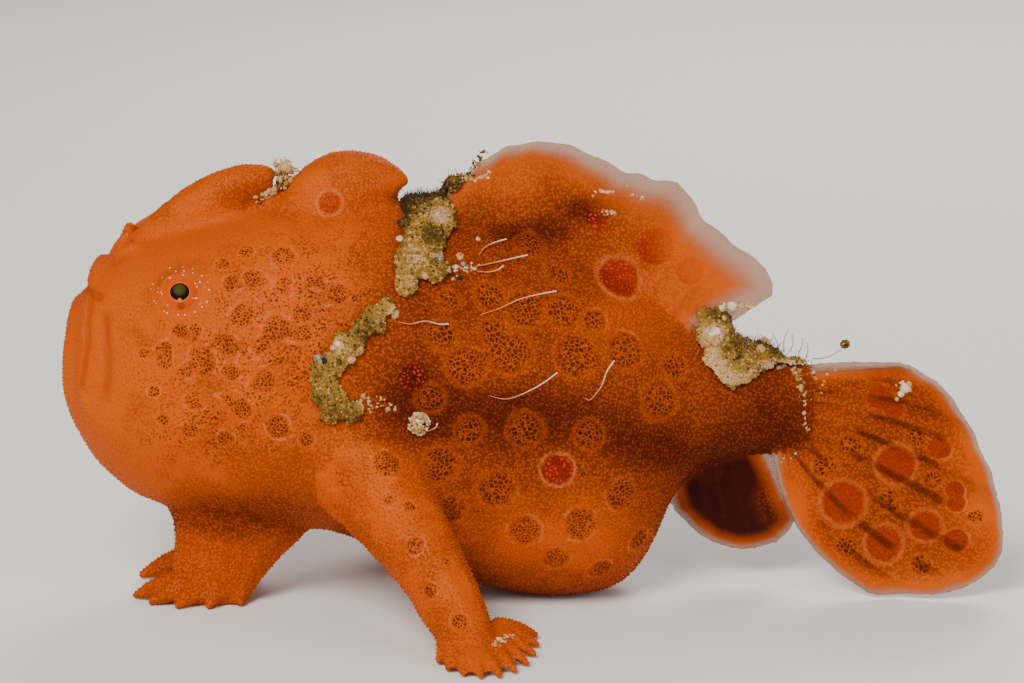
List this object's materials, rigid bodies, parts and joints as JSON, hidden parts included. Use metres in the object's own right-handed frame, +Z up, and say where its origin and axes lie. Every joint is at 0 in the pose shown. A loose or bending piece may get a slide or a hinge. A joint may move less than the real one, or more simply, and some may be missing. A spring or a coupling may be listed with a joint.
{
  "type": "frogfish model",
  "caption": "Still, life-size frogfish resting on its belly, hand-like pectoral fins and pelvic fins, with raised back fin, fan-shaped tail fin and crusts of algae and grit on its skin.",
  "frame": {"origin": "on the floor, below the middle of the fish's bounding box", "axes": "+X from the chin to the tail fin, +Y to the fish's right side, +Z up"},
  "size_m": [0.0899, 0.0546, 0.0441],
  "materials": {
    "orange_skin": "velvety orange skin",
    "rust_skin": "velvety rust-brown skin",
    "pale_orange_skin": "velvety pale orange skin",
    "golden_crust": "rough growth of algae and grit",
    "bait_white": "pale, slightly translucent skin",
    "eye_dark": "wet gloss"
  },
  "bodies": {
    "root": {"head": "orange_skin", "lower_jaw": "orange_skin", "trunk": "rust_skin", "tail_stalk": "rust_skin", "second_spine": "orange_skin", "third_spine": "orange_skin", "lure": "bait_white", "dorsal_fin": "rust_skin", "anal_fin": "rust_skin", "caudal_fin": "pale_orange_skin", "pectoral_arm_left": "orange_skin", "pectoral_arm_right": "orange_skin", "pectoral_hand_left": "orange_skin", "pectoral_hand_right": "orange_skin", "pelvic_fin_left": "orange_skin", "pelvic_fin_right": "orange_skin", "eye_left": "eye_dark", "eye_right": "eye_dark", "crust_nape": "golden_crust", "crust_shoulder": "golden_crust", "crust_stalk": "golden_crust"}
  },
  "joints": []
}
